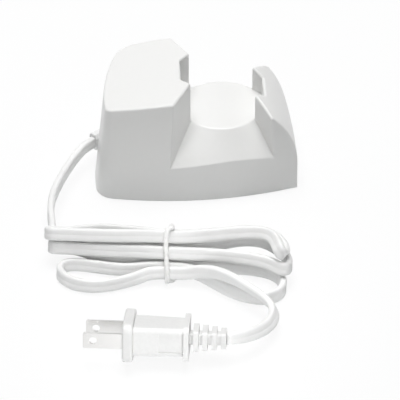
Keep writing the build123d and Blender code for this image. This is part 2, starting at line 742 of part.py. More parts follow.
def least_gap(edges):
    """Smallest clear space between one part of the hank and another, both standing on edge."""
    points = []
    run = 0.0
    for edge in edges:
        steps = max(2, round(edge.length / 1.5))
        points += [(run + edge.length * i / steps, edge @ (i / steps)) for i in range(steps)]
        run += edge.length
    least = run
    for index, (here, point) in enumerate(points):
        for there, other in points[index:]:
            if there - here > 2 * TIGHT_FOLD:
                apart = point - other
                over = max(0, abs(apart.Z) - CORD_WIDTH + CORD_THICK)
                least = min(least, math.hypot(apart.X, apart.Y, over))
    return least - CORD_THICK


hank_edges = hank_path()
hank_start = hank_edges[0] @ 0
hank_finish = hank_edges[-1] @ 1


def cord_hank():
    """Seven strands as one unbroken flat cord."""
    path = Wire([edge.edge() for edge in hank_edges])
    solid = sweep(cord_plane(hank_start, hank_along) * cord_section(), path)
    print("hank length", round(path.length, 1), "least gap", round(least_gap(hank_edges), 2))
    return solid


plug_low = (FLANGE_WIDTH / 2 - FLANGE_CORNER) * math.sin(math.radians(abs(PLUG_ROLL)))
plug_low += (FLANGE_HEIGHT / 2 - FLANGE_CORNER) * math.cos(math.radians(PLUG_ROLL)) + FLANGE_CORNER
plug_frame = Pos(PLUG_X, PLUG_Y, plug_low) * Rot(0, 0, PLUG_YAW) * Rot(PLUG_ROLL, 0, 0)
collar_face = FLANGE_THICK + GRIP_LENGTH
relief_face = collar_face + COLLAR_THICK
relief_length = RIB_COUNT * (RIB_THICK + RIB_GAP)
plug_end = (plug_frame * Pos(relief_face + relief_length, 0, 0)).position
plug_way = (plug_frame * Pos(1, 0, 0)).position - plug_frame.position


def free_cord(name, points):
    """One free stretch, with its length, its bends and how its volume compares with its section printed."""
    path = FilletPolyline(*points, radius=route_radii(points))
    solid = tube(points, cord_section())
    radii = [round(r, 1) for r in route_radii(points)]
    share = solid.volume / (path.length * cord_section().area)
    print(name, "length", round(path.length, 1), "radii", radii, "volume share", round(share, 4))
    return solid


def cord_lead():
    """Free cord from the gland down to the surface and round to the hank's back corner."""
    first = [gland_place(GLAND_NOSE - GLAND_POCKET), gland_place(GLAND_STRAIGHT)]
    last = [hank_start - hank_along * LEAD_LAST_RUN, hank_start]
    return free_cord("cord_lead", first + [Vector(*p) for p in LEAD_ROUTE] + last)


def cord_tail():
    """Free cord from the waist, over the last fold, to the plug."""
    first = [hank_finish, hank_finish + hank_along * TAIL_FIRST_RUN]
    last = [plug_end + plug_way * TAIL_LAST_RUN, plug_end]
    return free_cord("cord_tail", first + [Vector(*p) for p in TAIL_ROUTE] + last)


def cord_tie():
    """Coated wire bent round the strands at the waist, drawn tight over the steps of the rows."""
    places = [(waist_place(strand), row_height(strand_row(strand)) + waist_lift) for strand in range(STRANDS)]
    thick = CORD_THICK / 2
    tall = CORD_WIDTH / 2
    rear = min(place for place, height in places) - thick
    front = max(place for place, height in places) + thick
    top = max(height for place, height in places) + tall
    bottom = min(height for place, height in places) - tall
    top_front = max(place for place, height in places if height + tall == top) + thick
    bottom_rear = min(place for place, height in places if height - tall == bottom) - thick
    corners = [(rear, top), (top_front, top), (front, bottom + CORD_WIDTH), (front, bottom)]
    corners += [(bottom_rear, bottom), (rear, top - CORD_WIDTH)]
    loop = offset(make_face(Polyline(*corners, close=True)), TIE_GAP + TIE_WIRE / 2).wire()
    path = Plane(hank_point(0, 0, 0), x_dir=hank_forward, z_dir=hank_forward.cross(Vector(0, 0, 1))) * loop
    return sweep(Plane(path @ 0, z_dir=path % 0) * wire_section(TIE_WIRE), path)


def on_plug(shape):
    """Move a piece from the plug's own frame to where the plug lies."""
    return plug_frame * shape


def plug_section(start, width, height, round_by):
    """Rounded outline across the plug's axis."""
    plane = Plane(origin=(start, 0, 0), x_dir=(0, 1, 0), z_dir=(1, 0, 0))
    return plane * RectangleRounded(width, height, round_by)


def plug_bar(start, length, width, height, round_by):
    """Rounded bar along the plug's axis."""
    return extrude(plug_section(start, width, height, round_by), length)


def blade(side):
    """One flat blade with its hole, bevelled tip and the root held in the bridge."""
    y = side * BLADE_SPACING / 2
    middle = (BLADE_ROOT - BLADE_LENGTH) / 2
    bar = Pos(middle, y, 0) * Box(BLADE_LENGTH + BLADE_ROOT, BLADE_THICK, BLADE_WIDTH)
    bar = chamfer(bar.faces().sort_by(Axis.X)[0].edges(), BLADE_THICK / 4)
    return bar - Pos(-BLADE_HOLE_FROM_FACE, y, 0) * Rot(90, 0, 0) * Cylinder(BLADE_HOLE / 2, 2 * BLADE_THICK)


def bridge():
    """Hard insert inside the plug that holds the blades apart."""
    bar = plug_bar(BRIDGE_DEPTH, BRIDGE_THICK, BLADE_SPACING + BLADE_THICK + 2 * BRIDGE_MARGIN,
                   BLADE_WIDTH + 2 * BRIDGE_MARGIN, BRIDGE_MARGIN)
    return bar - blade(-1) - blade(1)


def plug_body():
    """Soft moulding: face flange, tapered grip with side panels, collar and ladder strain relief."""
    body = plug_bar(0, FLANGE_THICK, FLANGE_WIDTH, FLANGE_HEIGHT, FLANGE_CORNER)
    body = fillet(body.edges().group_by(Axis.X)[0] + body.edges().group_by(Axis.X)[-1], EDGE_ROUND)
    wide = plug_section(FLANGE_THICK, GRIP_WIDTH, GRIP_HEIGHT, GRIP_ROUND)
    slim = plug_section(collar_face, GRIP_WIDTH - GRIP_TAPER, GRIP_HEIGHT - GRIP_TAPER / 2, GRIP_ROUND)
    grip = loft([wide, slim], ruled=True)
    towards_face = (Align.MAX, Align.CENTER, Align.CENTER)
    for side in (-1, 1):
        panel = Box(PANEL_LENGTH, 2 * PANEL_DEPTH, PANEL_HEIGHT, align=towards_face)
        grip -= Pos(collar_face, side * (GRIP_WIDTH - GRIP_TAPER) / 2, 0) * panel
    body += grip
    body += plug_bar(collar_face, COLLAR_THICK, COLLAR_WIDTH, COLLAR_HEIGHT, COLLAR_CORNER)
    core = (CORD_THICK + 2 * RELIEF_WALL, CORD_WIDTH - RIB_SHRINK)
    body += plug_bar(relief_face, relief_length, *core, RELIEF_WALL)
    for rib in range(RIB_COUNT):
        start = relief_face + rib * (RIB_THICK + RIB_GAP) + RIB_GAP
        smaller = rib * RIB_SHRINK
        body += plug_bar(start, RIB_THICK, RIB_WIDTH - smaller, RIB_HEIGHT - smaller, RELIEF_WALL)
    return body - blade(-1) - blade(1) - bridge()


pieces = {
    "upper_housing": upper_housing(),
    "base_plate": base_plate(),
    "base_gasket": base_gasket(),
    "rubber_feet": rubber_feet(),
    "base_screws": base_screws(),
    "pot_core": pot_core(),
    "coil_bobbin": coil_bobbin(),
    "primary_coil": primary_coil(),
    "coil_leads": coil_leads(),
    "circuit_board": circuit_board(),
    "board_screws": board_screws(),
    "film_capacitor": film_capacitor(),
    "electrolytic_capacitor": electrolytic_capacitor(),
    "fuse_resistor": fuse_resistor(),
    "rectifier_diodes": rectifier_diodes(),
    "switching_transistor": switching_transistor(),
    "mains_leads": mains_leads(),
    "cord_gland": cord_gland(),
    "cord_lead": cord_lead(),
    "cord_hank": cord_hank(),
    "cord_tail": cord_tail(),
    "cord_tie": cord_tie(),
    "plug_body": on_plug(plug_body()),
    "plug_bridge": on_plug(bridge()),
    "plug_blade_front": on_plug(blade(-1)),
    "plug_blade_rear": on_plug(blade(1)),
}

os.makedirs("parts", exist_ok=True)
for name, solid in pieces.items():
    export_step(solid, os.path.join("parts", name + ".step"))
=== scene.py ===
import math

import bpy
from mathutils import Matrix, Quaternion, Vector, geometry


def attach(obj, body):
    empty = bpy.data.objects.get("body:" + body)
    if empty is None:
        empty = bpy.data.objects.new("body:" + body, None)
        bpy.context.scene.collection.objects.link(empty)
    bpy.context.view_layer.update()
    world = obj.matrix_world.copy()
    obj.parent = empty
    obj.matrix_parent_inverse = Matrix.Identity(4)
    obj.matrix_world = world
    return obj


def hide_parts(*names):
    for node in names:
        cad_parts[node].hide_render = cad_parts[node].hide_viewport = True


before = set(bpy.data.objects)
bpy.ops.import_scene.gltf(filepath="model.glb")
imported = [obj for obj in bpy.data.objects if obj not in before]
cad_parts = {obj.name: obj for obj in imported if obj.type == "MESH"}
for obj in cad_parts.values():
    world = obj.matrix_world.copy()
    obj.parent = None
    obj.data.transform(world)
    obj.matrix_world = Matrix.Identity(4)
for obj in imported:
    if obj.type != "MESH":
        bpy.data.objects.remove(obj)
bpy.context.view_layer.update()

# Base plate: the stand's floor, a white injection moulding with a fine spark-eroded texture underneath.
# Four screws hold it up into the housing, and its posts carry the coil and the circuit board.

MM = 0.001


def plain_finish(name, colour, roughness):
    """A finish of one colour and gloss, set on its shader."""
    finish = bpy.data.materials.new(name)
    finish.use_nodes = True
    shader = finish.node_tree.nodes["Principled BSDF"]
    shader.inputs["Base Color"].default_value = (*colour, 1)
    shader.inputs["Roughness"].default_value = roughness
    return finish


def grain(finish, size, rough_low, rough_high, depth):
    """Patches of gloss between two roughnesses and a bumpy skin, both of grains of that size in metres."""
    tree = finish.node_tree
    shader = tree.nodes["Principled BSDF"]
    place = tree.nodes.new("ShaderNodeTexCoord")
    noise = tree.nodes.new("ShaderNodeTexNoise")
    noise.inputs["Scale"].default_value = 1 / size
    noise.inputs["Detail"].default_value = 3
    tree.links.new(place.outputs["Object"], noise.inputs["Vector"])
    gloss = tree.nodes.new("ShaderNodeMapRange")
    gloss.inputs["To Min"].default_value = rough_low
    gloss.inputs["To Max"].default_value = rough_high
    tree.links.new(noise.outputs["Fac"], gloss.inputs["Value"])
    tree.links.new(gloss.outputs["Result"], shader.inputs["Roughness"])
    skin = tree.nodes.new("ShaderNodeBump")
    skin.inputs["Distance"].default_value = depth
    tree.links.new(noise.outputs["Fac"], skin.inputs["Height"])
    tree.links.new(skin.outputs["Normal"], shader.inputs["Normal"])
    return noise


def tint(finish, texture, first, second, low=0.35, high=0.65):
    """Colour between two tones by a texture of the same finish."""
    tree = finish.node_tree
    ramp = tree.nodes.new("ShaderNodeValToRGB")
    for stop, place, colour in zip(ramp.color_ramp.elements, (low, high), (first, second)):
        stop.position = place
        stop.color = (*colour, 1)
    tree.links.new(texture.outputs["Fac"], ramp.inputs["Fac"])
    tree.links.new(ramp.outputs["Color"], tree.nodes["Principled BSDF"].inputs["Base Color"])


def dress(node, finish, crease=32):
    """Put a finish on a CAD node and shade it smooth up to an angle in degrees."""
    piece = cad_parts[node]
    piece.data.materials.clear()
    piece.data.materials.append(finish)
    piece.data.shade_smooth()
    piece.data.set_sharp_from_angle(angle=math.radians(crease))
    return piece


plate_finish = plain_finish("textured_white_moulding", (0.72, 0.73, 0.73), 0.5)
plate_grain = grain(plate_finish, 0.7 * MM, 0.42, 0.62, 0.02 * MM)
tint(plate_finish, plate_grain, (0.69, 0.70, 0.70), (0.74, 0.75, 0.75))
dress("base_plate", plate_finish)

# Rubber feet and seal: grey thermoplastic rubber. The feet are four pads pressed into the plate's underside.
# The seal is a flat ring squeezed between the plate and the housing's ledge.

rubber_finish = plain_finish("grey_rubber", (0.32, 0.33, 0.34), 0.8)
rubber_grain = grain(rubber_finish, 0.5 * MM, 0.7, 0.92, 0.03 * MM)
tint(rubber_finish, rubber_grain, (0.28, 0.29, 0.30), (0.36, 0.37, 0.38))
dress("rubber_feet", rubber_finish)
dress("base_gasket", rubber_finish)

# Screws: zinc-plated steel with pan heads. Four hold the plate to the housing, four small ones the board.
# The plating is a little uneven, with dull patches.

zinc_finish = plain_finish("zinc_plated_steel", (0.62, 0.63, 0.65), 0.3)
zinc_finish.node_tree.nodes["Principled BSDF"].inputs["Metallic"].default_value = 1
zinc_grain = grain(zinc_finish, 0.6 * MM, 0.22, 0.45, 0.01 * MM)
tint(zinc_finish, zinc_grain, (0.55, 0.56, 0.58), (0.68, 0.69, 0.71))
dress("base_screws", zinc_finish)
dress("board_screws", zinc_finish)

# Coil: a ferrite cup under the pad, a black nylon spool in it, and enamelled copper wound on the spool.
# The winding's two ends run in tinned leads to the board.

ferrite_finish = plain_finish("sintered_ferrite", (0.05, 0.05, 0.055), 0.6)
ferrite_grain = grain(ferrite_finish, 0.4 * MM, 0.5, 0.8, 0.03 * MM)
tint(ferrite_finish, ferrite_grain, (0.035, 0.035, 0.04), (0.075, 0.075, 0.08))
dress("pot_core", ferrite_finish)

nylon_finish = plain_finish("black_nylon", (0.03, 0.03, 0.03), 0.45)
nylon_grain = grain(nylon_finish, 0.8 * MM, 0.38, 0.55, 0.01 * MM)
tint(nylon_finish, nylon_grain, (0.025, 0.025, 0.025), (0.04, 0.04, 0.042))
dress("coil_bobbin", nylon_finish)

WINDING_WIRE = 0.25 * MM
WAVE_RADIANS = 20


def winding(finish, pitch, dark, light, depth):
    """Level turns of wire, one above the other, as bands in colour and bump; the colour bands are painted
    shade between the turns and painted highlight on their crowns.

    At a scale of one, the wave texture goes through WAVE_RADIANS in each metre.
    """
    tree = finish.node_tree
    shader = tree.nodes["Principled BSDF"]
    place = tree.nodes.new("ShaderNodeTexCoord")
    turns = tree.nodes.new("ShaderNodeTexWave")
    turns.bands_direction = "Z"
    turns.inputs["Scale"].default_value = 2 * math.pi / (WAVE_RADIANS * pitch)
    turns.inputs["Distortion"].default_value = 0.4
    tree.links.new(place.outputs["Object"], turns.inputs["Vector"])
    # Painted shade and highlight: the dark tone lies between the turns, the light one on their crowns.
    tint(finish, turns, dark, light, 0.0, 1.0)
    ridge = tree.nodes.new("ShaderNodeBump")
    ridge.inputs["Distance"].default_value = depth
    tree.links.new(turns.outputs["Fac"], ridge.inputs["Height"])
    tree.links.new(ridge.outputs["Normal"], shader.inputs["Normal"])


# The winding's two band tones are painted shade between the turns and painted highlight on them, not colours
# of the enamel.
copper_finish = plain_finish("enamelled_copper", (0.52, 0.20, 0.08), 0.3)
copper_finish.node_tree.nodes["Principled BSDF"].inputs["Metallic"].default_value = 0.9
winding(copper_finish, WINDING_WIRE, (0.34, 0.11, 0.04), (0.62, 0.27, 0.12), WINDING_WIRE / 2)
dress("primary_coil", copper_finish)

tinned_finish = plain_finish("tinned_wire", (0.66, 0.66, 0.64), 0.3)
tinned_finish.node_tree.nodes["Principled BSDF"].inputs["Metallic"].default_value = 1
tinned_grain = grain(tinned_finish, 0.5 * MM, 0.25, 0.4, 0.01 * MM)
tint(tinned_finish, tinned_grain, (0.60, 0.60, 0.58), (0.70, 0.70, 0.68))
dress("coil_leads", tinned_finish)

# Circuit board: glass-fibre laminate under green lacquer, with the driver's parts on its top.
# Each part has the plain colour that its kind is sold in, with no print on it.

laminate_finish = plain_finish("green_laminate", (0.03, 0.17, 0.07), 0.4)
laminate_grain = grain(laminate_finish, 0.9 * MM, 0.3, 0.5, 0.01 * MM)
tint(laminate_finish, laminate_grain, (0.025, 0.14, 0.055), (0.04, 0.20, 0.085))
dress("circuit_board", laminate_finish)

part_tones = {
    "film_capacitor": ((0.42, 0.30, 0.03), (0.52, 0.38, 0.05)),
    "electrolytic_capacitor": ((0.015, 0.017, 0.03), (0.03, 0.033, 0.05)),
    "fuse_resistor": ((0.10, 0.22, 0.30), (0.14, 0.28, 0.37)),
    "rectifier_diodes": ((0.018, 0.018, 0.018), (0.035, 0.035, 0.035)),
    "switching_transistor": ((0.02, 0.02, 0.022), (0.045, 0.045, 0.048)),
    "mains_leads": ((0.24, 0.24, 0.235), (0.30, 0.30, 0.295)),
}
for node, (dark, light) in part_tones.items():
    part_finish = plain_finish(node + "_case", dark, 0.45)
    part_grain = grain(part_finish, 0.6 * MM, 0.35, 0.6, 0.01 * MM)
    tint(part_finish, part_grain, dark, light)
    dress(node, part_finish)

# Housing: one thin shell of glossy white plastic, with the tall block, the cradle, its pad and the fin.
# It is polished in the mould to an even gloss, and its edges are softly eased. The plate closes it below.

HOUSING_WHITE = (0.785, 0.785, 0.775)
HOUSING_WHITE_LOW = (0.780, 0.780, 0.770)
EDGE_EASE = 0.9 * MM
EDGE_SAMPLES = 8

housing_finish = plain_finish("polished_white_moulding", HOUSING_WHITE, 0.3)
housing_tree = housing_finish.node_tree
housing_tree.nodes["Principled BSDF"].inputs["IOR"].default_value = 1.49
housing_grain = grain(housing_finish, 2 * MM, 0.27, 0.31, 0.0005 * MM)
tint(housing_finish, housing_grain, HOUSING_WHITE_LOW, HOUSING_WHITE)
eased_edge = housing_tree.nodes.new("ShaderNodeBevel")
eased_edge.samples = EDGE_SAMPLES
eased_edge.inputs["Radius"].default_value = EDGE_EASE
housing_tree.links.new(eased_edge.outputs["Normal"], housing_tree.nodes["Bump"].inputs["Normal"])
dress("upper_housing", housing_finish)

# Blades: two flat strips stamped from brass and plated with bright nickel, one hole through each.
# Handling leaves fine rubbed patches. They sit in a hard insert and are moulded into the plug.

blade_finish = plain_finish("nickel_plated_brass", (0.79, 0.785, 0.775), 0.25)
blade_finish.node_tree.nodes["Principled BSDF"].inputs["Metallic"].default_value = 1
blade_grain = grain(blade_finish, 0.4 * MM, 0.2, 0.27, 0.001 * MM)
tint(blade_finish, blade_grain, (0.77, 0.765, 0.755), (0.81, 0.805, 0.795))
blades = [dress("plug_blade_front", blade_finish), dress("plug_blade_rear", blade_finish)]

# Plug: white PVC moulded over the cord's end and the two blades, with a face flange, a grip and a collar.
# Its tail is a ladder of ribs that eases the cord's bend. A hard insert inside holds the blades apart. Its
# white is set greyer than the cord's, painted shade on the whole plug.

# Greyer than the cord's white, which the real plug shares: painted shade that darkens its top under the
# panel above.
plug_finish = plain_finish("moulded_plug_pvc", (0.67, 0.67, 0.665), 0.42)
plug_grain = grain(plug_finish, 1.2 * MM, 0.36, 0.5, 0.03 * MM)
tint(plug_finish, plug_grain, (0.66, 0.66, 0.655), (0.68, 0.68, 0.675))
plug = dress("plug_body", plug_finish)

insert_finish = plain_finish("hard_insert", (0.55, 0.54, 0.50), 0.5)
insert_grain = grain(insert_finish, 0.8 * MM, 0.42, 0.6, 0.02 * MM)
tint(insert_finish, insert_grain, (0.52, 0.51, 0.47), (0.58, 0.57, 0.53))
insert = dress("plug_bridge", insert_finish)

# Gland: a soft rubber bush that grips the cord where it leaves the tall end, pushed through the wall.
# In truth it is moulded in the cord's own white, duller than the housing; here its white is set lighter than
# the cord's, painted light that lifts the shade it sits in at the tall end.

# Lighter than the cord's white: painted light that lifts the gland out of its shade by the tall end.
gland_finish = plain_finish("soft_white_bush", (0.84, 0.84, 0.835), 0.55)
gland_grain = grain(gland_finish, 1.5 * MM, 0.48, 0.66, 0.03 * MM)
tint(gland_finish, gland_grain, (0.82, 0.82, 0.815), (0.86, 0.86, 0.855))
dress("cord_gland", gland_finish)

# Cord: flat twin flex in white PVC, two conductors side by side with a shallow groove along the middle.
# It leaves the tall end through the gland, lies on edge in a hank of seven strands, and ends in the plug.

CORD_WIDTH = 5.6
CORD_THICK = 2.9
CORD_ROUND = 1.1
CORNER_STEPS = 5
GROOVE_HALF = 0.45
GROOVE_FLOOR = 0.1125
GROOVE_DEPTH = 0.1
GLAND_OUTSIDE = (-42.81, 2.6, 10.6)
GLAND_TURN = 40.0
GLAND_NOSE = 3.6
IN_GLAND = 8.0
STRAIGHT_OUT = 7.0
LEAD_ROUTE = [(-52.4, -8.2, 10.2), (-57.0, -18.4, 9.8), (-61.0, -30.0, 9.8), (-63.4, -40.6, 10.0),
              (-63.8, -49.4, 9.9), (-62.9, -57.4, 9.2)]
HANK_X = -12.4
HANK_Y = -73.0
HANK_YAW = -7.0
LEAN = 29.0
WAIST_HALF = 7.0
WAIST = [(1.3, 15.7), (3.9, 17.1), (4.4, 10.1), (7.3, 11.0), (6.7, 4.9), (10.0, 4.9), (13.3, 4.9)]
JOIN = [(-51.2, -3.4, 8.4), (-42.0, -3.6, 10.4), (-33.0, -3.2, 12.5), (-26.0, -2.3, 13.8)]
TURNS = [
    [(18.0, -1.4, 14.2), (29.0, -6.4, 13.6), (37.4, -6.8, 13.4), (43.8, -4.1, 13.5), (47.3, 0.8, 13.5),
     (48.4, 4.6, 13.5), (48.7, 7.4, 13.6), (47.6, 9.0, 15.2), (46.1, 7.5, 16.7), (45.2, 4.3, 16.6),
     (44.0, 0.6, 16.2), (41.4, -2.8, 15.7), (36.6, -4.5, 15.3), (28.6, -3.9, 15.0), (17.0, -0.3, 15.8)],
    [(-24.0, 3.2, 15.2), (-43.0, 3.6, 15.0), (-48.3, 4.1, 15.3), (-50.6, 4.1, 15.3), (-52.1, 2.9, 14.6),
     (-52.1, 1.1, 13.6), (-50.6, -0.1, 12.9), (-48.3, 0.2, 13.0), (-43.0, 1.0, 13.4), (-33.0, 1.2, 10.8),
     (-24.0, 2.2, 9.0)],
    [(18.0, -1.4, 9.3), (30.0, -7.2, 8.7), (39.4, -7.0, 8.5), (46.8, -1.6, 8.2), (50.0, 4.4, 8.4),
     (51.1, 8.4, 8.6), (50.0, 11.4, 8.8), (47.0, 11.2, 8.9), (44.0, 9.0, 8.9), (40.0, 7.0, 8.9),
     (31.0, 5.2, 8.9), (17.0, 5.4, 9.6)],
    [(-24.0, 5.6, 9.0), (-43.0, 5.2, 8.9), (-46.8, 5.7, 9.2), (-49.0, 5.7, 9.2), (-50.6, 4.5, 8.5),
     (-50.6, 2.7, 7.5), (-49.0, 1.5, 6.8), (-46.8, 1.8, 6.9), (-43.0, 2.4, 7.3), (-34.0, 3.4, 5.4),
     (-24.0, 4.8, 3.8)],
    [(20.0, 5.6, 2.9), (33.0, 4.8, 2.8), (44.0, 6.8, 2.8), (49.3, 13.0, 2.8), (48.3, 20.4, 2.8),
     (41.0, 24.6, 2.8), (30.0, 22.0, 2.8), (22.0, 16.8, 2.8), (14.0, 11.4, 3.4)],
    [(-18.0, 10.8, 2.9), (-30.0, 9.4, 2.8), (-39.5, 8.2, 2.8), (-45.4, 9.8, 2.8), (-46.0, 15.6, 2.8),
     (-39.5, 21.6, 2.8), (-28.0, 22.6, 2.8), (-14.0, 17.0, 3.2)],
]
TAIL = [(14.0, 13.9, 7.4), (20.5, 16.6, 9.6), (27.5, 20.6, 10.4), (34.5, 25.4, 10.0), (41.5, 30.2, 8.8),
        (46.4, 35.2, 7.6), (46.4, 42.4, 7.0), (42.6, 50.0, 8.0), (34.9, 57.4, 10.34), (28.5, 58.8, 10.34)]
PLUG_ROLL = 18.0
TAIL_TURN = 42.0
LEAN_FADE = 60 * MM
PLUG_FADE = 30 * MM
TAIL_RUN = 86 * MM
TIP_PLACE = 185 * MM
TIP_REACH = 26 * MM
TIP_LEAN = 16.0
TIP_TURN = 62.0
LINE_STEPS = 8

hank_way = Vector((math.cos(math.radians(HANK_YAW)), math.sin(math.radians(HANK_YAW)), 0))


def gland_point(along):
    """Point on the cord's straight way out of the tall end, in millimetres."""
    turn = math.radians(GLAND_TURN)
    x, y, z = GLAND_OUTSIDE
    return (x - along * math.cos(turn), y - along * math.sin(turn), z)


def hank_point(along, forward, z):
    """Point of the hank, from its own length and breadth; zero is the first strand at the waist."""
    turn = math.radians(HANK_YAW)
    x = HANK_X + along * math.cos(turn) + forward * math.sin(turn)
    y = HANK_Y + along * math.sin(turn) - forward * math.cos(turn)
    return (x, y, z)


def cord_route():
    """Every point of the cord's line, from inside the gland to the plug, in metres."""
    points = [gland_point(GLAND_NOSE - IN_GLAND), gland_point(STRAIGHT_OUT), *LEAD_ROUTE]
    hank = list(JOIN)
    for strand, (forward, up) in enumerate(WAIST):
        way = -1 if strand % 2 else 1
        hank += [(-way * WAIST_HALF, forward, up), (way * WAIST_HALF, forward, up)]
        hank += TURNS[strand] if strand < len(TURNS) else TAIL
    points += [hank_point(*place) for place in hank]
    return [Vector(point) * MM for point in points]


def smooth_line(points, resolution):
    """Points read from one open NURBS spline through the route."""
    curve = bpy.data.curves.new("route", "CURVE")
    curve.dimensions = "3D"
    spline = curve.splines.new("NURBS")
    spline.points.add(len(points) - 1)
    for place, point in zip(spline.points, points):
        place.co = (*point, 1)
    spline.order_u = 3
    spline.use_endpoint_u = True
    spline.resolution_u = resolution
    carrier = bpy.data.objects.new("route", curve)
    mesh = bpy.data.meshes.new_from_object(carrier)
    line = [vertex.co.copy() for vertex in mesh.vertices]
    bpy.data.objects.remove(carrier)
    bpy.data.curves.remove(curve)
    bpy.data.meshes.remove(mesh)
    return line


def flex_outline():
    """Outline across the cord in metres, as (across, up) pairs: round corners and a groove in each face."""
    thick = CORD_THICK / 2
    tall = CORD_WIDTH / 2
    quarter = [(thick - GROOVE_DEPTH, GROOVE_FLOOR), (thick, GROOVE_HALF)]
    for step in range(CORNER_STEPS + 1):
        angle = math.radians(90 * step / CORNER_STEPS)
        quarter.append((thick - CORD_ROUND + CORD_ROUND * math.cos(angle),
                        tall - CORD_ROUND + CORD_ROUND * math.sin(angle)))
    half = quarter + [(-x, y) for x, y in reversed(quarter)]
    return [(x * MM, y * MM) for x, y in half + [(-x, -y) for x, y in half]]


def ease(share):
    """Smooth step from nought to one."""
    share = min(max(share, 0.0), 1.0)
    return share * share * (3 - 2 * share)


def cord_lean(way, from_start, to_end):
    """How far the cord is rolled about its own line.

    The strands lean back on each other, and the top one rolls over at its right-hand fold.
    The lead leaves the gland upright, and the tail rolls over into the plug.
    """
    at_tip = ease(1 - abs(from_start - TIP_PLACE) / TIP_REACH)
    amount = LEAN * ease(from_start / LEAN_FADE) + TIP_LEAN * at_tip
    amount += (PLUG_ROLL - amount) * ease(1 - to_end / PLUG_FADE)
    lean_way = hank_way.copy()
    lean_way.rotate(Quaternion((0, 0, 1), -math.radians(TIP_TURN) * at_tip))
    roll = -amount * way.dot(lean_way)
    in_tail = 1 - to_end / TAIL_RUN
    if in_tail > 0:
        roll += TAIL_TURN * ease(2 * in_tail) * ease(2 - 2 * in_tail)
    return math.radians(roll)


def flat_tube(name, line, outline):
    """Mesh of the cord's outline carried along a line."""
    run = [0.0]
    for here, after in zip(line, line[1:]):
        run.append(run[-1] + (after - here).length)
    vertices = []
    for index, point in enumerate(line):
        way = (line[min(index + 1, len(line) - 1)] - line[max(index - 1, 0)]).normalized()
        across = way.cross(Vector((0, 0, 1))).normalized()
        across.rotate(Quaternion(way, cord_lean(way, run[index], run[-1] - run[index])))
        up = across.cross(way)
        vertices += [point + across * x + up * y for x, y in outline]
    count = len(outline)
    faces = [list(reversed(range(count))), list(range(len(vertices) - count, len(vertices)))]
    for ring in range(len(line) - 1):
        for side in range(count):
            following = (side + 1) % count
            faces.append([ring * count + side, ring * count + following,
                          (ring + 1) * count + following, (ring + 1) * count + side])
    mesh = bpy.data.meshes.new(name)
    mesh.from_pydata(vertices, [], faces)
    mesh.update()
    mesh.shade_smooth()
    piece = bpy.data.objects.new(name, mesh)
    bpy.context.scene.collection.objects.link(piece)
    return piece


flex_finish = plain_finish("satin_white_pvc", (0.80, 0.80, 0.795), 0.4)
flex_grain = grain(flex_finish, 5 * MM, 0.34, 0.5, 0.08 * MM)
tint(flex_finish, flex_grain, (0.79, 0.79, 0.785), (0.81, 0.81, 0.805))

cord_line = smooth_line(cord_route(), LINE_STEPS)
cord = flat_tube("flat_cord", cord_line, flex_outline())
cord.data.materials.append(flex_finish)
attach(cord, "root")
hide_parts("cord_lead", "cord_hank", "cord_tail")

# Tie: one length of plastic-coated wire, bent round the hank's waist and drawn tight over the strands.
# Its back run lies a little to the right, so both bends show as hooks from the front.

TIE_RADIUS = 1.05
TIE_CLEAR = 1.1
TIE_BACK_SHIFT = 3.2
TIE_SLANT = 0.16
TIE_PLACE = -2.4
TIE_FACING = 0.2
TIE_SIDES = 4


def bundle_corners():
    """Corners of the strands' outline at the waist, as (forward, up) pairs round it."""
    lean = math.radians(LEAN)
    tall = Vector((-math.sin(lean), math.cos(lean))) * CORD_WIDTH / 2
    thick = Vector((math.cos(lean), math.sin(lean))) * CORD_THICK / 2
    corners = [Vector(place) + tall * a + thick * b for place in WAIST for a in (-1, 1) for b in (-1, 1)]
    return [corners[index] for index in geometry.convex_hull_2d(corners)]


def tie_points():
    """Points round the waist, one out from each side that meets at a corner of the bundle."""
    corners = bundle_corners()
    points = []
    for index, here in enumerate(corners):
        before = corners[index - 1]
        after = corners[(index + 1) % len(corners)]
        for side in (here - before, after - here):
            out = Vector((side.y, -side.x)).normalized()
            forward, up = here + out * TIE_CLEAR
            up = max(up, TIE_RADIUS)
            shift = TIE_PLACE + TIE_SLANT * forward + (TIE_BACK_SHIFT if out.x < TIE_FACING else 0.0)
            points.append(Vector(hank_point(shift, forward, up)) * MM)
    return points


tie_finish = plain_finish("coated_tie_wire", (0.85, 0.85, 0.84), 0.28)
tie_grain = grain(tie_finish, 2 * MM, 0.22, 0.36, 0.03 * MM)
tint(tie_finish, tie_grain, (0.82, 0.82, 0.81), (0.87, 0.87, 0.86))

tie_curve = bpy.data.curves.new("tie_wire", "CURVE")
tie_curve.dimensions = "3D"
tie_curve.bevel_depth = TIE_RADIUS * MM
tie_curve.bevel_resolution = TIE_SIDES
tie_spline = tie_curve.splines.new("NURBS")
tie_route = tie_points()
tie_spline.points.add(len(tie_route) - 1)
for place, point in zip(tie_spline.points, tie_route):
    place.co = (*point, 1)
tie_spline.use_cyclic_u = True
tie_spline.order_u = 3
tie_spline.resolution_u = LINE_STEPS
tie = bpy.data.objects.new("tie_wire", tie_curve)
bpy.context.scene.collection.objects.link(tie)
tie.data.materials.append(tie_finish)
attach(tie, "root")
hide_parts("cord_tie")

# Floor: a plain white studio sheet, a trace cooler than the object, laid flat under it.
# Seen directly it is near white, and it keeps the object's soft shadow.

FLOOR_HALF = 6.0
FLOOR_GAP = 0.1 * MM
FLOOR_WHITE = (0.85, 0.86, 0.865)
FLOOR_GLOW = 0.88

floor_mesh = bpy.data.meshes.new("floor")
floor_corners = [(x * FLOOR_HALF, y * FLOOR_HALF, -FLOOR_GAP)
                 for x, y in ((-1, -1), (1, -1), (1, 1), (-1, 1))]
floor_mesh.from_pydata(floor_corners, [], [(0, 1, 2, 3)])
floor = bpy.data.objects.new("floor", floor_mesh)
bpy.context.scene.collection.objects.link(floor)


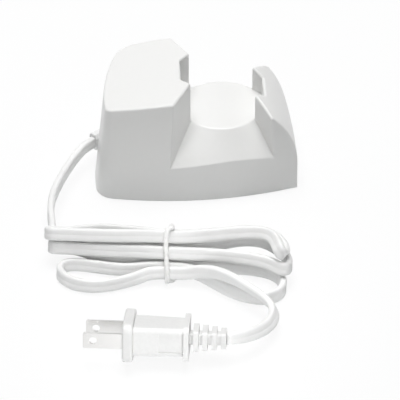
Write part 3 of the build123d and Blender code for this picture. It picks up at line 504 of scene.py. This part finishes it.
def seen_directly(tree):
    """One where a ray comes from the camera, a reflection or a see-through surface, and nought elsewhere."""
    ray = tree.nodes.new("ShaderNodeLightPath")
    total = ray.outputs["Is Camera Ray"]
    for name in ("Is Glossy Ray", "Is Transmission Ray"):
        larger = tree.nodes.new("ShaderNodeMath")
        larger.operation = "MAXIMUM"
        tree.links.new(total, larger.inputs[0])
        tree.links.new(ray.outputs[name], larger.inputs[1])
        total = larger.outputs["Value"]
    return total


floor_finish = plain_finish("studio_white", FLOOR_WHITE, 0.9)
floor_tree = floor_finish.node_tree
glow = floor_tree.nodes.new("ShaderNodeEmission")
share = floor_tree.nodes.new("ShaderNodeMath")
share.operation = "MULTIPLY"
share.inputs[1].default_value = FLOOR_GLOW
blend = floor_tree.nodes.new("ShaderNodeMixShader")
floor_tree.links.new(seen_directly(floor_tree), share.inputs[0])
floor_tree.links.new(share.outputs["Value"], blend.inputs["Fac"])
floor_tree.links.new(floor_tree.nodes["Principled BSDF"].outputs["BSDF"], blend.inputs[1])
floor_tree.links.new(glow.outputs["Emission"], blend.inputs[2])
floor_tree.links.new(blend.outputs["Shader"], floor_tree.nodes["Material Output"].inputs["Surface"])
floor_mesh.materials.append(floor_finish)

# Light: soft white panels in an even white room. A broad one hangs above, a weaker one behind, and two stand
# at the sides. Two small ones before the plug, one raised and one low, light the faces of the cord and plug.

ROOM_LIGHT = 0.02
PANELS = {
    "panel_above": {"place": (0.0, 0.05, 0.95), "aim": (0.0, 0.05, 0.0),
                    "size": 0.6, "power": 8.3, "spread": 180},
    "panel_behind": {"place": (-0.15, 0.4, 0.8), "aim": (0.0, -0.03, 0.02),
                     "size": 0.7, "power": 1.4, "spread": 180},
    "panel_left": {"place": (-0.8, 0.2, 0.45), "aim": (0.0, -0.05, 0.0),
                   "size": 0.5, "power": 1.0, "spread": 180},
    "panel_right": {"place": (0.8, 0.2, 0.45), "aim": (0.0, -0.05, 0.0),
                    "size": 0.5, "power": 0.5, "spread": 180},
    "panel_front": {"place": (0.0, -0.26, 0.22), "aim": (0.0, -0.115, 0.0),
                    "size": 0.1, "power": 0.010, "spread": 40},
    "panel_low": {"place": (0.0, -0.26, 0.045), "aim": (-0.022, -0.12, 0.012),
                  "size": 0.08, "power": 0.0185, "spread": 60},
}

world = bpy.data.worlds.new("white_room")
bpy.context.scene.world = world
world.use_nodes = True
room_tree = world.node_tree
room = room_tree.nodes["Background"]
room.inputs["Color"].default_value = (1, 1, 1, 1)
level = room_tree.nodes.new("ShaderNodeMapRange")
level.inputs["To Min"].default_value = ROOM_LIGHT
level.inputs["To Max"].default_value = 1
room_tree.links.new(seen_directly(room_tree), level.inputs["Value"])
room_tree.links.new(level.outputs["Result"], room.inputs["Strength"])

for name, panel in PANELS.items():
    lamp = bpy.data.lights.new(name, "AREA")
    lamp.size = panel["size"]
    lamp.energy = panel["power"]
    lamp.spread = math.radians(panel["spread"])
    holder = bpy.data.objects.new(name, lamp)
    holder.location = panel["place"]
    holder.rotation_mode = "QUATERNION"
    holder.rotation_quaternion = (Vector(panel["aim"]) - holder.location).to_track_quat("-Z", "Y")
    holder.visible_camera = False
    bpy.context.scene.collection.objects.link(holder)

# Camera: where the photograph was taken from, looking down over the plug at the stand.
# A long lens, as such pictures have, so the stand's sides hardly draw together.

CAMERA_PLACE = (-0.02195, -0.80862, 0.60698)
CAMERA_AIM = (0.00147, -0.03055, 0.0)
CAMERA_ROLL = -0.27
CAMERA_LENS = 200.9
CAMERA_SENSOR = 36

camera_data = bpy.data.cameras.new("camera")
camera_data.sensor_width = CAMERA_SENSOR
camera_data.lens = CAMERA_LENS
camera = bpy.data.objects.new("camera", camera_data)
camera.location = CAMERA_PLACE
camera.rotation_mode = "QUATERNION"
camera_turn = (Vector(CAMERA_AIM) - camera.location).to_track_quat("-Z", "Y")
camera.rotation_quaternion = camera_turn @ Quaternion((0, 0, 1), math.radians(CAMERA_ROLL))
bpy.context.scene.collection.objects.link(camera)
bpy.context.scene.camera = camera
bpy.context.scene.view_settings.view_transform = "Standard"
